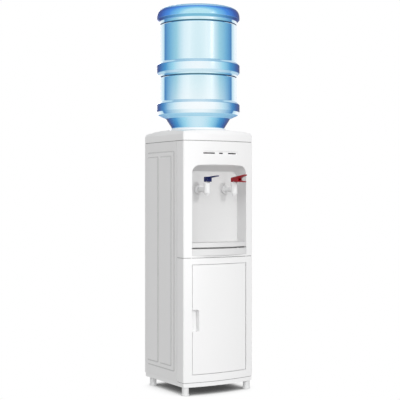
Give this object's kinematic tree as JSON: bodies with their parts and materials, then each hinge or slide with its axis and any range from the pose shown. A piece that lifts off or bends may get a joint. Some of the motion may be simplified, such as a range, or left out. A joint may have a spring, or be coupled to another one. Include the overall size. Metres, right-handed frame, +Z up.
{
  "type": "water dispenser",
  "caption": "Slim floor-standing water dispenser with a top-loaded ringed bottle, hot and cold lever taps in a bay over a drip tray, and a storage cupboard below",
  "frame": {"origin": "on the floor under the middle of the whole outline, from the lever tips to the drain plug", "axes": "+Z up, -Y the way the taps and the door face, +X to the right seen from the front"},
  "size_m": [0.2739, 0.3446, 1.2543],
  "materials": {
    "white_plastic": "glossy white moulding",
    "white_sheet": "white painted sheet",
    "liner_plastic": "satin white moulding",
    "foot_plastic": "satin light grey",
    "steel": "plain",
    "magnet": "bare ferrite",
    "smoked_lens": "smoked, polished",
    "bottle_blue": "clear blue, polished",
    "cap_blue": "satin",
    "foam": "expanded foam",
    "aluminium": "plain",
    "ceramic_white": "matt",
    "black_plastic": "satin black",
    "silicone": "translucent, matt",
    "lever_red": "glossy red",
    "lever_blue": "glossy navy blue",
    "rocker_green": "glossy green",
    "board_green": "lacquered board",
    "tap_plastic": "glossy white"
  },
  "bodies": {
    "cabinet": {"base_plate": "white_plastic", "support_feet": "foot_plastic", "left_side_panel": "white_sheet", "right_side_panel": "white_sheet", "rear_panel": "white_sheet", "panel_screws": "steel", "top_cover": "white_plastic", "upper_front_panel": "white_plastic", "indicator_bezel": "white_plastic", "indicator_lenses": "smoked_lens", "lower_front_frame": "white_plastic", "cabinet_liner": "liner_plastic", "hinge_pins": "steel", "door_magnet": "magnet", "bottle_seat": "white_plastic", "feed_probe": "white_plastic", "cold_tank": "steel", "tank_baffle": "liner_plastic", "cold_tank_jacket": "foam", "tank_shelf": "steel", "cold_block": "aluminium", "peltier_plate": "ceramic_white", "heat_sink": "aluminium", "fan_frame": "black_plastic", "hot_tank": "steel", "hot_tank_jacket": "foam", "heater_band": "steel", "thermostats": "black_plastic", "cold_hose": "silicone", "hot_hose": "silicone", "hot_feed_hose": "silicone", "drain_pipe": "silicone", "drain_fitting": "liner_plastic", "cord_gland": "black_plastic", "switch_housings": "black_plastic", "power_board": "board_green", "cold_tap_body": "tap_plastic", "hot_tap_body": "tap_plastic", "cold_tap_bonnet": "tap_plastic", "hot_tap_bonnet": "tap_plastic", "lever_pins": "steel", "tap_nuts": "liner_plastic", "tap_gaskets": "silicone"},
    "bottle": {"water_bottle": "bottle_blue", "bottle_cap": "cap_blue"},
    "door": {"door_panel": "white_plastic", "door_liner": "liner_plastic", "strike_plate": "steel"},
    "cold_lever": {"cold_lever": "lever_blue"},
    "hot_lever": {"hot_lever": "lever_red"},
    "hot_lock": {"hot_lock_trigger": "lever_red"},
    "cold_stem": {"cold_valve_stem": "liner_plastic"},
    "hot_stem": {"hot_valve_stem": "liner_plastic"},
    "drip_tray": {"drip_tray": "white_plastic"},
    "drip_grille": {"drip_grille": "white_plastic"},
    "fan": {"fan_rotor": "black_plastic"},
    "heating_switch": {"heating_rocker": "lever_red"},
    "cooling_switch": {"cooling_rocker": "rocker_green"},
    "drain_plug": {"drain_plug": "liner_plastic"}
  },
  "joints": [
    {"name": "bottle_lift", "type": "slide", "parent": "cabinet", "child": "bottle", "axis": [0, 0, 1], "range_m": [0, 0.15]},
    {"name": "door_swing", "type": "hinge", "parent": "cabinet", "child": "door", "pos_m": [0.097, -0.09748, 0.239], "axis": [0, 0, 1], "range_deg": [0, 95]},
    {"name": "cold_lever_press", "type": "hinge", "parent": "cabinet", "child": "cold_lever", "pos_m": [-0.051, -0.11425, 0.674], "axis": [1, 0, 0], "range_deg": [0, 18], "stiffness_Nm_per_rad": 0.6, "springref_deg": -8.59},
    {"name": "hot_lever_press", "type": "hinge", "parent": "cabinet", "child": "hot_lever", "pos_m": [0.051, -0.11425, 0.674], "axis": [1, 0, 0], "range_deg": [0, 18], "stiffness_Nm_per_rad": 0.6, "springref_deg": -8.59},
    {"name": "hot_lock_squeeze", "type": "hinge", "parent": "hot_lever", "child": "hot_lock", "pos_m": [0.051, -0.13525, 0.676], "axis": [-1, 0, 0], "range_deg": [0, 12], "stiffness_Nm_per_rad": 0.08, "springref_deg": -5.73},
    {"name": "cold_stem_lift", "type": "slide", "parent": "cabinet", "child": "cold_stem", "axis": [0, 0, 1], "range_m": [0, 0.0023]},
    {"name": "hot_stem_lift", "type": "slide", "parent": "cabinet", "child": "hot_stem", "axis": [0, 0, 1], "range_m": [0, 0.0023]},
    {"name": "drip_tray_slide", "type": "slide", "parent": "cabinet", "child": "drip_tray", "axis": [0, -1, 0], "range_m": [0, 0.07]},
    {"name": "drip_grille_lift", "type": "slide", "parent": "drip_tray", "child": "drip_grille", "axis": [0, 0, 1], "range_m": [0, 0.04]},
    {"name": "fan_spin", "type": "hinge", "parent": "cabinet", "child": "fan", "pos_m": [0, 0.12175, 0.72117], "axis": [0, 1, 0], "continuous": true},
    {"name": "heating_switch_rock", "type": "hinge", "parent": "cabinet", "child": "heating_switch", "pos_m": [-0.017, 0.15475, 0.59917], "axis": [1, 0, 0], "range_deg": [0, 16]},
    {"name": "cooling_switch_rock", "type": "hinge", "parent": "cabinet", "child": "cooling_switch", "pos_m": [0.017, 0.15475, 0.59917], "axis": [1, 0, 0], "range_deg": [0, 16]},
    {"name": "drain_plug_pull", "type": "slide", "parent": "cabinet", "child": "drain_plug", "axis": [0, 1, 0], "range_m": [0, 0.03]}
  ],
  "couplings": [
    {"joint": "cold_stem_lift", "follows": "cold_lever_press", "m_per_rad": 0.007},
    {"joint": "hot_stem_lift", "follows": "hot_lever_press", "m_per_rad": 0.007}
  ]
}
